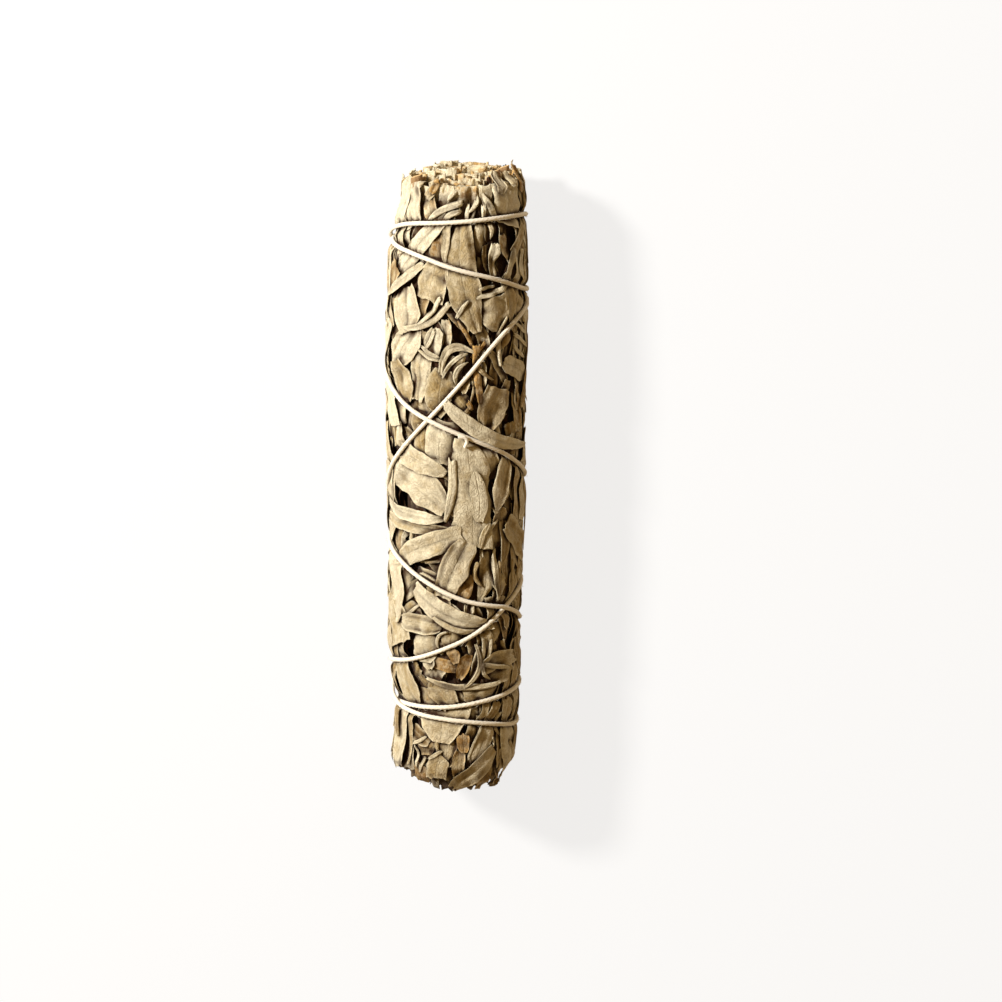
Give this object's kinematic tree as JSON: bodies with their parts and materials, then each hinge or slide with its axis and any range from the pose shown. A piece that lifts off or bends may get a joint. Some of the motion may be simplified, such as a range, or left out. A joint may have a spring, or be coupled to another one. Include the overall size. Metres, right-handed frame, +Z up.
{
  "type": "dried sage bunch",
  "caption": "Tied bunch of dried sage: leafy sprigs on woody stems laid side by side, wound round and knotted with cotton twine, cut flat at the stem end and ragged at the leaf tips",
  "frame": {"origin": "on the ground under the middle of the bunch", "axes": "+Y along the bunch to the cut stem ends, -Y to the ragged leaf tips, +X across it, +Z up"},
  "size_m": [0.0365, 0.1599, 0.0356],
  "materials": {
    "dried_leaf": "dried felted leaf, cream to olive, matt",
    "stem_bark": "dry brown bark, matt, with a paler cut end",
    "cotton_twine": "twisted undyed cotton, matt"
  },
  "bodies": {
    "root": {"sprig_01_leaves": "dried_leaf", "sprig_01_stem": "stem_bark", "sprig_02_leaves": "dried_leaf", "sprig_02_stem": "stem_bark", "sprig_03_leaves": "dried_leaf", "sprig_03_stem": "stem_bark", "sprig_04_leaves": "dried_leaf", "sprig_04_stem": "stem_bark", "sprig_05_leaves": "dried_leaf", "sprig_05_stem": "stem_bark", "sprig_06_leaves": "dried_leaf", "sprig_06_stem": "stem_bark", "sprig_07_leaves": "dried_leaf", "sprig_07_stem": "stem_bark", "twine": "cotton_twine"}
  },
  "joints": []
}
